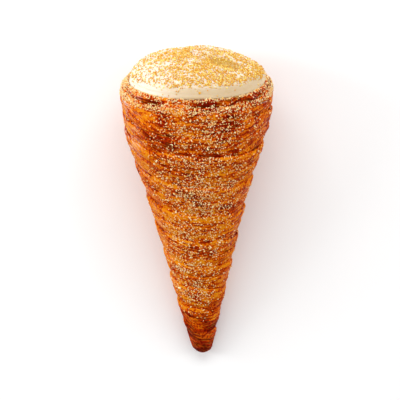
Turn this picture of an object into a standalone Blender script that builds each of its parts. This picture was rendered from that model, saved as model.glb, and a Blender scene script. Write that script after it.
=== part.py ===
"""Cream horn pastry: a strip of puff pastry wound into a pointed horn, filled with cream to a dome.

The horn lies on its side. It is modelled upright about its own axis, with the tip at height 0, the mouth up
and the shown side towards -Y, and an empty then lays it down with the mouth towards +Y and the shown side up.
"""

import math

import bmesh
import bpy

# Driving dimensions, in metres and radians. Heights run along the horn's axis, from the tip.
HORN_LENGTH = 0.1256  # tip to the top of the pastry
MOUTH_RADIUS = 0.0314  # the turns level off at this radius near the mouth
CONE_ANGLE = math.radians(13.7)  # between the axis and the line over the turns' crests
TIP_RADIUS = 0.0049  # round end of the tip
BULGE = 0.0011  # how far the thicker last turns swell out of the cone
BULGE_HEIGHT = 0.100  # where they swell most
BULGE_REACH = 0.026  # to both sides of it
LEVELLING = 0.0006  # how softly the cone turns into the level mouth
BOW = 0.0010  # how far the middle of the horn bows towards -X

# The wound strip.
TIP_PITCH = 0.0095  # width of a turn at the tip
MOUTH_PITCH = 0.0164  # width of a turn at the mouth
LIP_HEIGHT = 0.0873  # height of one of the lips on the shown side
LIP_STEP = 0.0011  # how far a turn's upper lip stands out from the turn above it, at the mouth
# One turn from its lip down to the next: share of the pitch, and how deep the surface lies as a share of the step.
# The shallower lip half-way down is the other edge of the folded strip.
TURN_PROFILE = (
    (0.0, 1.0),
    (0.04, 0.3),
    (0.11, 0.0),
    (0.30, 0.05),
    (0.46, 0.55),
    (0.52, 0.20),
    (0.74, 0.50),
    (1.0, 1.0),
)
WOBBLE = 0.0008  # how far a lip strays along the axis
UNEVEN_STEP = 0.35  # how much deeper or shallower a lip gets along its way, as a share
OUT_OF_ROUND = 0.0004  # how far the horn strays from round
LEVEL_MOUTH = 0.0060  # below the mouth the turns fade out over this length
LEVEL_TIP = 0.0110  # above the tip they fade in over this length

# The rim has two rolled layers with a groove between them, and the inner one stands higher.
OUTER_LIP_HEIGHT = 0.1228  # height of the outer layer's crest
OUTER_LIP_WIDTH = 0.0017
OUTER_LIP_DROP = 0.0042  # from its crest down to the wound wall
GROOVE_ANGLE = math.radians(148)  # how far round the outer layer the groove lies, from its outer side
INNER_LIP_RADIUS = 0.0286  # radius of the inner layer's crest
RIM_WAVE = 0.0004  # how far the rim strays along the axis

# The hollow and the cream in it.
WALL = 0.0052  # pastry between its crests and the hollow
HOLLOW_START = 0.022  # height of the bottom of the hollow
HOLLOW_FOOT = 0.0015  # rise of its blunt bottom
GAP = 0.00035  # between the cream and the pastry
CREAM_REACH = math.radians(112)  # how far up the inner layer the cream touches it, from its outer side
DOME_RADIUS = 0.0282
DOME_HEIGHT = 0.0122  # above the top of the pastry
DOME_WAIST = 0.0004  # height above the pastry at which the dome is widest
DOME_LEAN = 0.0014  # how far the top of the dome lies towards -X
DOME_WAVE = 0.0003  # unevenness of the dome

# How it rests.
REST_ANGLE = math.radians(14.0)  # of the axis above the tray, once it lies down
TRAY_CUT = 0.0009  # depth of the flats that the baking tray pressed into the crests
TRAY_SIZE = 0.30
TRAY_DEPTH = 0.02

# Fineness of the solids.
SEGMENTS = 44
LIP_RINGS = 4
TIP_RINGS = 3
HOLLOW_RINGS = 5
DOME_RINGS = 7
MERGE = 0.00001

PITCH_GROWTH = (MOUTH_PITCH - TIP_PITCH) / HORN_LENGTH
MEAN_PITCH = (MOUTH_PITCH + TIP_PITCH) / 2
FRONT = 0.75  # the shown side, as a share of a full turn from +X
WOUND_TOP = OUTER_LIP_HEIGHT - OUTER_LIP_DROP
ROUND_END = TIP_RADIUS * (1 - math.sin(CONE_ANGLE))  # height at which the round tip meets the cone


def ramp(x):
    """Smooth step from 0 to 1."""
    x = min(max(x, 0.0), 1.0)
    return x * x * (3 - 2 * x)


def crest_radius(height):
    """Radius over the crests of the turns, above the round tip."""
    start = TIP_RADIUS * math.cos(CONE_ANGLE) - ROUND_END * math.tan(CONE_ANGLE)
    swell = BULGE * ramp(1 - abs(height - BULGE_HEIGHT) / BULGE_REACH)
    cone = start + height * math.tan(CONE_ANGLE) + swell
    return (cone + MOUTH_RADIUS - math.hypot(cone - MOUTH_RADIUS, 2 * LEVELLING)) / 2


def turns_below(height):
    """Number of turns between the tip and this height, as the pitch grows evenly towards the mouth."""
    return math.log(1 + PITCH_GROWTH * height / TIP_PITCH) / PITCH_GROWTH


def height_of(turns):
    """Height that this number of turns reaches."""
    return TIP_PITCH * (math.exp(PITCH_GROWTH * turns) - 1) / PITCH_GROWTH


def relief(height):
    """Strength of the turns: none at the rim and at the round tip, and less where the horn is thin."""
    ends = ramp((WOUND_TOP - height) / LEVEL_MOUTH) * ramp((height - ROUND_END) / LEVEL_TIP)
    return ends * math.sqrt(crest_radius(height) / MOUTH_RADIUS)


def stray(angle, turns):
    """Uneven winding, from -1 to 1: it never repeats from one turn to the next."""
    return (
        0.5 * math.sin(2.0 * angle + 1.7 * turns)
        + 0.3 * math.sin(3.0 * angle - 2.3 * turns + 1.0)
        + 0.2 * math.sin(5.0 * angle + 0.9 * turns + 2.0)
    )


def bow(height):
    """Sideways shift of the axis at this height."""
    return -BOW * math.sin(math.pi * min(max(height / HORN_LENGTH, 0.0), 1.0))


def point_at(angle, radius, height):
    """Place on the horn, with its bowed axis and its wavy rim."""
    wave = RIM_WAVE * ramp((height - WOUND_TOP) / OUTER_LIP_DROP) * stray(angle, 0.3)
    return (radius * math.cos(angle) + bow(height), radius * math.sin(angle), height + wave)


def arc(centre, width, rise, start, end, rings):
    """Points along a part of an ellipse, as (radius, height), without its first point."""
    steps = [start + (end - start) * (ring + 1) / rings for ring in range(rings)]
    return [(centre[0] + width * math.cos(step), centre[1] + rise * math.sin(step)) for step in steps]


def rim_outline():
    """The outside of the rim, from the wound wall over the outer layer to the crest of the inner one."""
    half = OUTER_LIP_WIDTH / 2
    centre = (crest_radius(WOUND_TOP) - half, WOUND_TOP)
    outer = arc(centre, half, OUTER_LIP_DROP, 0, GROOVE_ANGLE, LIP_RINGS)
    groove_radius, groove_height = outer[-1]
    width = groove_radius - INNER_LIP_RADIUS
    rise = HORN_LENGTH - groove_height
    return outer + arc((INNER_LIP_RADIUS, groove_height), width, rise, 0, math.pi / 2, LIP_RINGS)


def inside_outline(start, gap=0.0):
    """The side of the pastry that faces the cream, from this far round the rim down to the hollow's foot."""
    lip_width = INNER_LIP_RADIUS - crest_radius(WOUND_TOP) + WALL
    lip_rise = HORN_LENGTH - WOUND_TOP
    lip = arc((INNER_LIP_RADIUS, WOUND_TOP), lip_width + gap, lip_rise + gap, start, math.pi, LIP_RINGS)
    foot = HOLLOW_START + HOLLOW_FOOT
    steps = [(ring + 1) / HOLLOW_RINGS for ring in range(HOLLOW_RINGS)]
    heights = [WOUND_TOP + (foot - WOUND_TOP) * step for step in steps]
    return lip + [(crest_radius(height) - WALL - gap, height) for height in heights]


def dome_outline():
    """The dome from its top down to its widest ring, as (radius, height)."""
    centre = (0.0, HORN_LENGTH + DOME_WAIST)
    side = arc(centre, DOME_RADIUS, DOME_HEIGHT - DOME_WAIST, math.pi / 2, 0, DOME_RINGS)
    return [(0.0, HORN_LENGTH + DOME_HEIGHT), *side]


def collection(name):
    made = bpy.data.collections.new(name)
    bpy.context.scene.collection.children.link(made)
    return made


def material(name, colour, roughness):
    made = bpy.data.materials.new(name)
    made.use_nodes = True
    shader = made.node_tree.nodes["Principled BSDF"]
    shader.inputs["Base Color"].default_value = (*colour, 1.0)
    shader.inputs["Roughness"].default_value = roughness
    shader.inputs["Metallic"].default_value = 0.0
    return made


def screwed(name, profile, home, pitch=0.0, turns=1):
    """Mesh object made by turning a profile of (radius, height) about Z, or by winding it at a pitch."""
    chain = bmesh.new()
    points = [chain.verts.new((radius, 0.0, height)) for radius, height in profile]
    for upper, lower in zip(points, points[1:]):
        chain.edges.new((upper, lower))
    guide = bpy.data.objects.new(name, bpy.data.meshes.new(name))
    chain.to_mesh(guide.data)
    chain.free()
    home.objects.link(guide)

    screw = guide.modifiers.new("screw", "SCREW")
    screw.axis = "Z"
    screw.steps = screw.render_steps = SEGMENTS
    screw.iterations = turns
    screw.screw_offset = pitch
    screw.use_normal_calculate = True
    weld = guide.modifiers.new("weld", "WELD")
    weld.merge_threshold = MERGE

    graph = bpy.context.evaluated_depsgraph_get()
    turned = bpy.data.meshes.new_from_object(guide.evaluated_get(graph))
    guide.modifiers.clear()
    guide.data = turned
    return guide


def open_edges(body, low, high):
    """Open edges of the mesh between two heights."""
    return [e for e in body.edges if e.is_boundary and all(low < v.co.z < high for v in e.verts)]


def extrude_rings(body, edges, outline):
    """Extrudes a loop of edges through rings of (radius, height), each point keeping its angle."""
    for radius, height in outline:
        made = bmesh.ops.extrude_edge_only(body, edges=edges)["geom"]
        edges = [g for g in made if isinstance(g, bmesh.types.BMEdge)]
        for vert in {v for e in edges for v in e.verts}:
            angle = math.atan2(vert.co.y, vert.co.x - bow(vert.co.z))
            vert.co = point_at(angle, radius, height)
    return edges


def close_at(body, edges, height):
    """Closes a loop of edges with a fan to a point on the axis."""
    made = bmesh.ops.extrude_edge_only(body, edges=edges)["geom"]
    ring = [g for g in made if isinstance(g, bmesh.types.BMVert)]
    bmesh.ops.pointmerge(body, verts=ring, merge_co=point_at(0.0, 0.0, height))


def wound_wall(former):
    """The turns of pastry, cut level at both ends and drawn from their straight former onto the horn's cone."""
    # The former starts a whole number of turns, and at least one, above the lip that crosses the shown side.
    above = math.ceil(turns_below(HORN_LENGTH) - turns_below(LIP_HEIGHT)) + 1
    former_top = turns_below(LIP_HEIGHT) + above + FRONT

    body = bmesh.new()
    body.from_mesh(former)
    for height, side in ((WOUND_TOP, 1), (ROUND_END, -1)):
        bmesh.ops.bisect_plane(
            body,
            geom=[*body.verts, *body.edges, *body.faces],
            dist=MERGE,
            plane_co=(0, 0, (turns_below(height) - former_top) * MEAN_PITCH),
            plane_no=(0, 0, side),
            clear_outer=True,
        )
    for vert in body.verts:
        angle = math.atan2(vert.co.y, vert.co.x)
        turns = former_top + vert.co.z / MEAN_PITCH
        height = height_of(turns)
        depth = MOUTH_RADIUS - math.hypot(vert.co.x, vert.co.y)
        depth *= 1 + UNEVEN_STEP * stray(angle + 2.0, turns / 3)
        depth += OUT_OF_ROUND * stray(angle + 1.0, turns / 2)
        strength = relief(height)
        wobble = WOBBLE * stray(angle, turns)
        vert.co = point_at(angle, crest_radius(height) - strength * depth, height + strength * wobble)
    return body


def shape_pastry(home):
    """The horn of pastry: wound wall, rim, hollow and round tip, in one body."""
    profile = [(MOUTH_RADIUS - LIP_STEP * depth, -MEAN_PITCH * share) for share, depth in TURN_PROFILE]
    former_turns = math.ceil(turns_below(HORN_LENGTH)) + 3
    pastry = screwed("pastry_horn", profile, home, -MEAN_PITCH, former_turns)
    body = wound_wall(pastry.data)

    mouth = open_edges(body, WOUND_TOP - MERGE, HORN_LENGTH)
    mouth = extrude_rings(body, mouth, rim_outline() + inside_outline(math.pi / 2))
    close_at(body, mouth, HOLLOW_START)

    end = math.acos(1 - ROUND_END / TIP_RADIUS) - math.pi / 2
    tip = arc((0.0, TIP_RADIUS), TIP_RADIUS, TIP_RADIUS, end, -math.pi / 2, TIP_RINGS + 1)
    foot = extrude_rings(body, open_edges(body, 0.0, ROUND_END + MERGE), tip[:-1])
    close_at(body, foot, 0.0)

    bmesh.ops.recalc_face_normals(body, faces=body.faces)
    body.to_mesh(pastry.data)
    body.free()
    pastry.data.materials.append(material("baked_pastry", (0.55, 0.19, 0.035), 0.4))
    return pastry


def shape_cream(home):
    """The cream: one solid from the bottom of the hollow to its dome above the mouth."""
    bottom = (0.0, HOLLOW_START + 2 * GAP)
    outline = [*dome_outline(), *inside_outline(CREAM_REACH, GAP), bottom]
    cream = screwed("cream_filling", outline, home)
    for vert in cream.data.vertices:
        angle = math.atan2(vert.co.y, vert.co.x)
        radius = math.hypot(vert.co.x, vert.co.y)
        rise = ramp((vert.co.z - HORN_LENGTH) / DOME_HEIGHT)
        wave = DOME_WAVE * rise * ramp(radius / DOME_RADIUS) * stray(angle, 1.0)
        vert.co = point_at(angle, radius, vert.co.z + wave)
        vert.co.x -= DOME_LEAN * rise
    cream.data.materials.append(material("cream", (0.92, 0.80, 0.60), 0.5))
    return cream


def lay_down(pieces, home):
    """Lays the horn on its side, with the origin under the middle of its box and the flats below the tray."""
    stand = bpy.data.objects.new("horn_stand", None)
    stand.rotation_euler = (REST_ANGLE - math.pi / 2, 0, 0)
    home.objects.link(stand)
    turn = stand.rotation_euler.to_matrix()
    points = [turn @ vert.co for piece in pieces for vert in piece.data.vertices]
    low, high = ([limit(point[axis] for point in points) for axis in range(3)] for limit in (min, max))
    stand.location = (-(low[0] + high[0]) / 2, -(low[1] + high[1]) / 2, -low[2] - TRAY_CUT)
    for piece in pieces:
        piece.data.shade_smooth()
        piece.parent = stand


def press_flats(pastry, cutters):
    """Cuts the pastry level where it lies on the baking tray."""
    bpy.ops.mesh.primitive_cube_add(size=1, location=(0, 0, -TRAY_DEPTH / 2))
    tray = bpy.context.object
    tray.name = "baking_tray"
    tray.scale = (TRAY_SIZE, TRAY_SIZE, TRAY_DEPTH)
    tray.hide_render = True
    tray.display_type = "WIRE"
    for other in tray.users_collection:
        other.objects.unlink(tray)
    cutters.objects.link(tray)
    flats = pastry.modifiers.new("tray_flats", "BOOLEAN")
    flats.operation = "DIFFERENCE"
    flats.solver = "EXACT"
    flats.object = tray


def main():
    for old in list(bpy.data.objects):
        bpy.data.objects.remove(old)
    home = collection("cream_horn")
    pastry = shape_pastry(home)
    cream = shape_cream(home)
    lay_down((pastry, cream), home)
    press_flats(pastry, collection("cutters"))


main()
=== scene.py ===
"""Looks of the cream horn pastry: wound flaky crust, cream dome, sugar grains and crumbs, and the stage."""

import math

import bmesh
import bpy
import numpy as np
from mathutils import Matrix, Vector, noise


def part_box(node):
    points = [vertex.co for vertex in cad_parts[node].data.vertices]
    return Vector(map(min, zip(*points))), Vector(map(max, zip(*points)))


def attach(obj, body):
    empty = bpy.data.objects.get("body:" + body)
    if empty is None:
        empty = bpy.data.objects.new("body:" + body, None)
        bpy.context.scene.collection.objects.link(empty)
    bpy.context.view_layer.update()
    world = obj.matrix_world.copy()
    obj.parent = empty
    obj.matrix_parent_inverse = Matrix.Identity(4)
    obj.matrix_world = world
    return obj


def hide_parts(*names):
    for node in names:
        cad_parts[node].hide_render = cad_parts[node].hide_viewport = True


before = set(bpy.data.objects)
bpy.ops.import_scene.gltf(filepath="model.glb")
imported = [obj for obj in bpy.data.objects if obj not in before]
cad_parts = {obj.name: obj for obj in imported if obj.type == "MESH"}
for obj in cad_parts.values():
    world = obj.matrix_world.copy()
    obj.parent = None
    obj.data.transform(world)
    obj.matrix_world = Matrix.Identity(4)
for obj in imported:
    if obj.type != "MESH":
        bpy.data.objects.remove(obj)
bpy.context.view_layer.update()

bl_info = {
    "name": "Cream Horn",
    "version": (1, 0, 0),
    "blender": (4, 5, 0),
    "location": "View3D > Sidebar > Cream Horn",
    "description": "Dresses the cream horn's solids with a flaky crust, cream, sugar and crumbs",
    "category": "Add Mesh",
}

HORN_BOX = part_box("pastry_horn")
MM = 0.001
FULL_TURN = 2 * math.pi
FRONT = 0.75  # the shown side, as a share of a full turn from +X
MERGE = 0.01 * MM  # points closer than this become one
REST_TURN = 14.0  # degrees between the horn's axis and the table

# One turn from its lip down to the next, as shares of its width, and how deep the surface lies there, as
# shares of the lip's step.
TURN_SHARES = (0, 0.015, 0.03, 0.045, 0.07, 0.12, 0.3, 0.44, 0.455, 0.47, 0.485, 0.53, 0.74, 0.93, 0.98, 1)
TURN_DEPTHS = (1.25, 1.1, 0.5, 0.12, 0, 0, 0.08, 0.46, 0.72, 0.58, 0.25, 0.16, 0.5, 0.92, 1.15, 1.25)

# Noises over the strip: each one's own number, and the length of its lumps along the strip, in radians.
DRIFT = (0, 1.4)
SHOWN = (1, 0.8)
RAGGED = (2, 0.22)
LIFTED = (3, 0.35)
FRAYED = (4, 0.08)
CRISP = (5, 0.9)

# Sizes of the lumps that roughen the crust: across the horn both ways, and along it.
BROAD_LUMPS = (9 * MM, 9 * MM, 6 * MM)
SMALL_LUMPS = (4 * MM, 4 * MM, 2.2 * MM)
CRUMPLES = (2.2 * MM, 2.2 * MM, 1.0 * MM)
FINE_LUMPS = 0.9 * MM
FINE_RISE = 0.18 * MM  # height of the fine lumps

GROOVE_REACH = 1.1 * MM  # how far the groove in the rim reaches from its deepest line
CREAM_MEETS = math.radians(112)  # how far round the rim's inner layer the cream meets it
CREAM_RINGS = 8  # rings of faces from there to the hollow
HOLLOW_RINGS = 5  # rings of faces down the hollow
TIP_RINGS = 9  # rings of faces over the round tip
MAP_STEPS = 400  # steps along the strip in which its length is added up
CENTIMETRES = 100  # in a metre

# Oval spots of the shown side that are darker or lighter than the rest, most of them baked, and a painted
# highlight at the far left: middle across and up the horn, and reach, in millimetres, and how much darker.
BAKED_SPOTS_AND_PAINTED_HIGHLIGHT = (
    # A crumbly crevice, darker partly as baked crust and partly as painted shade.
    (-17.0, 107.0, 9.0, 0.32),
    (-5.0, 85.0, 8.0, 0.25),
    (8.0, 113.0, 9.0, 0.22),
    (22.0, 106.0, 9.0, 0.20),
    # Painted highlight on the bulge at the far left.
    (-29.5, 110.0, 6.5, -0.60),
    (-14.0, 113.0, 9.0, 0.20),
    (-12.0, 66.0, 8.0, -0.15),
    (4.0, 48.0, 9.0, -0.15),
    (14.0, 74.0, 8.0, 0.15),
    (-4.0, 105.0, 10.0, 0.15),
    (-10.0, 44.0, 7.0, -0.12),
)

# Oval spots of the dome: middle across it and back from the shown side, and reach, in millimetres.
DENT = (11.0, -6.0, 11.0)
DENT_DEPTH = 1.3 * MM
BARE_SPOT = (11.0, -6.0, 9.0)
CRUMB_HEAP = (6.0, -22.0, 13.0)
LUMP_RISE = 0.20 * MM  # height of the cream's smaller lumps
SMEAR_RISE = 0.10 * MM  # height of the smears round the dome
LEDGE_WIDTH = 0.5 * MM  # how far the wiped ledge stands out
BEAD_WIDTH = 0.8 * MM  # how far the bead of cream is pressed over the rim

# Grains and crumbs: their shape, and how far their middle stands above the surface as a share of their size.
GRAIN_SHAPE = (1.7, 1.0, 0.65)
GRAIN_STAND = 0.25
CRUMB_SHAPE = (1.2, 1.0, 0.8)
CRUMB_STAND = 0.22
CORNER_STRAY = 0.35  # how far a grain's corners stray, as a share of its size
SIDE_SPREAD = (0.75, 1.3)  # a grain's sides are this much shorter or longer than its shape says
SIZE_SPREAD = 0.27  # how much the sizes of grains differ

# Soft lamps: name, place, what they look at, width and length in metres, and power in watts.
SOFTBOXES = (
    ("left_softbox", (-0.62, 0.15, 0.25), (0, 0.01, 0.03), (0.2, 0.6), 2.4),
    ("right_softbox", (0.60, 0.10, 0.22), (0, 0.01, 0.03), (0.15, 0.6), 1.0),
    ("top_softbox", (0.0, 0.55, 0.60), (0, 0.02, 0.02), (0.8, 0.3), 3.2),
)
ROOM_LIGHT = 0.60
TABLE_SIZE = 4.0
TABLE_SHADE = 0.985  # how light the table's darker spots are, next to the rest of it


# ---------------------------------------------------------------- settings


def length(name, description, default):
    return bpy.props.FloatProperty(
        name=name, description=description, default=default, min=0.0, unit="LENGTH", precision=5
    )


def angle(name, description, degrees):
    return bpy.props.FloatProperty(
        name=name, description=description, default=math.radians(degrees), subtype="ANGLE", unit="ROTATION"
    )


def share(name, description, default):
    return bpy.props.FloatProperty(name=name, description=description, default=default, min=0.0, max=1.0)


def count(name, description, default):
    return bpy.props.IntProperty(name=name, description=description, default=default, min=1)


def colour(name, description, default):
    return bpy.props.FloatVectorProperty(
        name=name, description=description, default=default, size=3, min=0.0, max=1.0, subtype="COLOR"
    )


class HornSettings(bpy.types.PropertyGroup):
    """Sizes of the wound horn. Heights run along its axis, from the tip."""

    height: length("Horn length", "Tip to the top of the pastry", 0.1256)
    mouth_radius: length("Mouth radius", "The turns level off at this radius near the mouth", 0.0314)
    cone_angle: angle("Cone angle", "Between the axis and the line over the turns' crests", 13.7)
    tip_radius: length("Tip radius", "Round end of the tip", 0.0049)
    bulge: length("Bulge", "How far the thicker last turns swell out of the cone", 0.0011)
    bulge_height: length("Bulge height", "Where the last turns swell most", 0.100)
    bulge_reach: length("Bulge reach", "How far the swelling goes to both sides", 0.026)
    pinch: length("Pinch", "How much slimmer than a straight cone the horn is at its middle", 0.0005)
    levelling: length("Levelling", "How softly the cone turns into the level mouth", 0.0006)
    bow: length("Bow", "How far the middle of the horn bows to the left", 0.0007)
    rest_angle: angle("Rest angle", "Of the axis above the table", REST_TURN)
    place: bpy.props.FloatVectorProperty(
        name="Place", description="Where the tip of the axis lies", size=3, subtype="XYZ", unit="LENGTH"
    )


class StripSettings(bpy.types.PropertyGroup):
    """The strip of dough that is wound up, and its layers."""

    tip_pitch: length("Tip pitch", "Width of a turn at the tip", 0.0095)
    mouth_pitch: length("Mouth pitch", "Width of a turn at the mouth", 0.0164)
    lip_height: length("Lip height", "Height of one of the lips on the shown side", 0.0873)
    lip_step: length("Lip step", "How far a turn's lip stands out from the turn above it", 0.0012)
    lip_lift: length("Lip lift", "How far a lip curls up over the crease above it", 0.0007)
    wobble: length("Wobble", "How far a lip strays along the axis", 0.0008)
    uneven_step: share("Uneven step", "How much deeper or shallower a lip gets along its way", 0.35)
    out_of_round: length("Out of round", "How far the horn strays from round", 0.0004)
    layers: count("Layers", "Fine layers that show across one turn", 7)
    layer_step: length("Layer step", "How far a fine layer stands out", 0.0005)
    slant: angle("Slant", "How much further down the shown side than its edges the fine layers reach", 17)
    blister: length("Blisters", "Height of the baked blisters", 0.0005)
    level_mouth: length("Level mouth", "Below the mouth the turns fade out over this length", 0.0060)
    level_tip: length("Level tip", "Above the tip the turns fade in over this length", 0.0110)
    segments: count("Segments", "Faces round one turn", 176)
    rows: count("Rows", "Faces across one turn", 34)


class RimSettings(bpy.types.PropertyGroup):
    """The rim's two layers, and the hollow."""

    outer_height: length("Outer layer height", "Height of the outer layer's crest", 0.1228)
    outer_width: length("Outer layer width", "Thickness of the outer layer", 0.0017)
    outer_drop: length("Outer layer drop", "From its crest down to the wound wall", 0.0042)
    groove_angle: angle("Groove angle", "How far round the outer layer the groove lies", 148)
    fill: length("Groove fill", "How far the groove is filled up where its layers baked together", 0.0016)
    inner_radius: length("Inner layer radius", "Radius of the inner layer's crest", 0.0286)
    wave: length("Rim wave", "How far the rim strays along the axis", 0.0006)
    wall: length("Wall", "Pastry between its crests and the hollow", 0.0052)
    hollow_start: length("Hollow start", "Height of the bottom of the hollow", 0.022)
    rings: count("Rings", "Rings of faces over each layer", 12)


class CreamSettings(bpy.types.PropertyGroup):
    """The cream and its dome."""

    gap: length("Gap", "Between the cream and the pastry", 0.00035)
    dome_radius: length("Dome radius", "Widest radius of the dome", 0.0275)
    dome_height: length("Dome height", "Top of the dome above the pastry", 0.0122)
    dome_waist: length("Dome waist", "Height above the pastry at which the dome is widest", 0.0004)
    dome_shift: length("Dome shift", "How far the foot of the dome lies to the right", 0.0006)
    dome_lean: length("Dome lean", "How far the top of the dome lies to the left", 0.0030)
    dome_wave: length("Dome wave", "Unevenness of the dome", 0.0005)
    narrowing: share("Narrowing", "How much narrower than round the dome gets towards its top", 0.03)
    crumb_room: length("Crumb room", "How much lower the cream lies under its crumbs", 0.0008)
    segments: count("Segments", "Faces round the dome", 160)
    rings: count("Rings", "Rings of faces over the dome", 60)


class ToppingSettings(bpy.types.PropertyGroup):
    """Sugar grains on the crust and crumbs on the cream."""

    grains: count("Grains", "Sugar grains on the crust", 9600)
    grain_size: length("Grain size", "Across a middling grain", 0.00025)
    crumbs: count("Crumbs", "Crumbs on the cream", 6000)
    crumb_size: length("Crumb size", "Across a middling crumb", 0.0003)
    seed: count("Seed", "Start of the random numbers", 7)


class ColourSettings(bpy.types.PropertyGroup):
    """Colours of the finishes."""

    crust_pale: colour("Pale crust", "Least baked crust", (0.80, 0.265, 0.005))
    crust_golden: colour("Golden crust", "Crust baked to a deep orange", (0.68, 0.081, 0.0004))
    # Red crust also comes in through the creases, there partly as painted shade.
    crust_red: colour("Red crust", "Crust in the creases", (0.31, 0.0098, 0.0002))
    # Painted sheen: the pinkish-white highlight colour of the glaze lines.
    glaze_and_painted_sheen: colour("Glaze", "Thin lines of dried glaze", (0.95, 0.70, 0.56))
    crust_dark: colour("Dark crust", "Crust baked darkest", (0.10, 0.0034, 0.0002))
    # Painted shade on the cream's foot, warmed by the pastry's bounce light.
    cream_foot_painted_shade: colour("Cream foot", "Cream that has soaked up the pastry's colour", (0.60, 0.45, 0.27))
    cream: colour("Cream", "Cream of the filling", (0.87, 0.76, 0.62))
    # In the dent this dust colour is partly painted shade.
    dust: colour("Dust", "Cream under fine yellow crumbs", (0.56, 0.30, 0.012))
    grain_pale: colour("Pale grain", "Lightest sugar grains", (1.0, 0.82, 0.46))
    grain_tan: colour("Tan grain", "Darkest sugar grains", (0.95, 0.54, 0.11))
    crumb_pale: colour("Pale crumb", "Lightest crumbs", (1.0, 0.79, 0.20))
    crumb_amber: colour("Amber crumb", "Darkest crumbs", (0.78, 0.34, 0.003))
    floor: colour("Floor", "The table under the horn", (0.98, 0.98, 0.98))


class StageSettings(bpy.types.PropertyGroup):
    """Camera and lights."""

    aim_height: length("Aim height", "Height on the horn's axis that the camera looks at", 0.072)
    aim_side: length("Aim side", "How far right of the axis the camera looks", 0.0003)
    elevation: angle("Elevation", "Of the camera over the horn's side, towards the mouth", 22)
    distance: length("Distance", "From the camera to the axis", 0.60)
    roll: angle("Roll", "Turn of the camera about its view", -1.25)
    lens: bpy.props.FloatProperty(name="Lens", description="Focal length in millimetres", default=127.7)


GROUPS = {
    "horn": HornSettings,
    "strip": StripSettings,
    "rim": RimSettings,
    "cream": CreamSettings,
    "topping": ToppingSettings,
    "colours": ColourSettings,
    "stage": StageSettings,
}


def settings(name):
    return getattr(bpy.context.scene, f"cream_horn_{name}")


# ---------------------------------------------------------------- shape of the horn


def ramp(x):
    """Smooth step from 0 to 1."""
    x = np.clip(x, 0.0, 1.0)
    return x * x * (3 - 2 * x)


def spot(across, along, place, squash=0.5, skew=0.0, full=1.2, ragged=0.0):
    """Strength of an oval spot at points, from 0 to 1, fading out at its reach."""
    aside = across - place[0] * MM
    away = np.hypot(aside, (along - place[1] * MM + skew * aside) / squash)
    return ramp(full - away / (place[2] * MM) + ragged)


def wound_top():
    rim = settings("rim")
    return rim.outer_height - rim.outer_drop


def round_end():
    """Height at which the round tip meets the cone."""
    horn = settings("horn")
    return horn.tip_radius * (1 - math.sin(horn.cone_angle))


def crest_radius(height):
    """Radius over the crests of the turns, above the round tip."""
    horn = settings("horn")
    start = horn.tip_radius * math.cos(horn.cone_angle) - round_end() * math.tan(horn.cone_angle)
    swell = horn.bulge * ramp(1 - np.abs(height - horn.bulge_height) / horn.bulge_reach)
    slim = horn.pinch * ramp(1 - np.abs(height / (0.5 * horn.height) - 1))
    cone = start + height * math.tan(horn.cone_angle) + swell - slim
    return (cone + horn.mouth_radius - np.hypot(cone - horn.mouth_radius, 2 * horn.levelling)) / 2


def pitch_growth():
    strip = settings("strip")
    return (strip.mouth_pitch - strip.tip_pitch) / settings("horn").height


def turns_below(height):
    """Number of turns between the tip and this height, as the pitch grows evenly towards the mouth."""
    growth = pitch_growth()
    return np.log(1 + growth * height / settings("strip").tip_pitch) / growth


def height_of(turns):
    """Height that this number of turns reaches."""
    growth = pitch_growth()
    return settings("strip").tip_pitch * (np.exp(growth * turns) - 1) / growth


def relief(height):
    """Strength of the turns: none at the rim and at the round tip, and less where the horn is thin."""
    strip = settings("strip")
    ends = ramp((wound_top() - height) / strip.level_mouth) * ramp((height - round_end()) / strip.level_tip)
    return ends * np.sqrt(crest_radius(height) / settings("horn").mouth_radius)


def stray(angle, turns):
    """Uneven winding, from -1 to 1: it never repeats from one turn to the next."""
    return (
        0.5 * np.sin(2.0 * angle + 1.7 * turns)
        + 0.3 * np.sin(3.0 * angle - 2.3 * turns + 1.0)
        + 0.2 * np.sin(5.0 * angle + 0.9 * turns + 2.0)
    )


def bow(height):
    """Sideways shift of the axis at this height."""
    horn = settings("horn")
    return -horn.bow * np.sin(np.pi * np.clip(height / horn.height, 0.0, 1.0))


def horn_points(angle, radius, height):
    """Places on the upright horn, with its bowed axis and its wavy rim."""
    rim = settings("rim")
    wave = rim.wave * ramp((height - wound_top()) / rim.outer_drop) * stray(angle, 0.3)
    return np.stack((radius * np.cos(angle) + bow(height), radius * np.sin(angle), height + wave), axis=-1)


def arc(centre, width, rise, start, end, rings):
    """Points along a part of an ellipse, as (radius, height), without its first point."""
    steps = [start + (end - start) * (ring + 1) / rings for ring in range(rings)]
    return [(centre[0] + width * math.cos(step), centre[1] + rise * math.sin(step)) for step in steps]


def rim_outline():
    """The outside of the rim, from the wound wall over the outer layer to the crest of the inner one."""
    rim = settings("rim")
    half = rim.outer_width / 2
    centre = (float(crest_radius(wound_top())) - half, wound_top())
    outer = arc(centre, half, rim.outer_drop, 0, rim.groove_angle, rim.rings)
    groove_radius, groove_height = outer[-1]
    width = groove_radius - rim.inner_radius
    rise = settings("horn").height - groove_height
    return outer, arc((rim.inner_radius, groove_height), width, rise, 0, math.pi / 2, rim.rings)


def in_groove(radius, height):
    """How far inside the groove between the rim's two layers a point lies, from 0 to 1."""
    rim = settings("rim")
    foot_radius, foot_height = rim_outline()[0][-1]
    above = 0.45 * np.maximum(height - rim.outer_height + 0.3 * MM, 0.0)
    near = np.hypot(radius - foot_radius, above)
    return ramp(1.5 - near / GROOVE_REACH) * (height > foot_height - 0.1 * MM)


def sides_of_rim(angle):
    """How far the groove is filled up at the left and the right of the rim, from 0 to 1."""
    return ramp((-np.cos(angle) - 0.84) / 0.12) + 0.65 * ramp((np.cos(angle) - 0.80) / 0.14)


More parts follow.
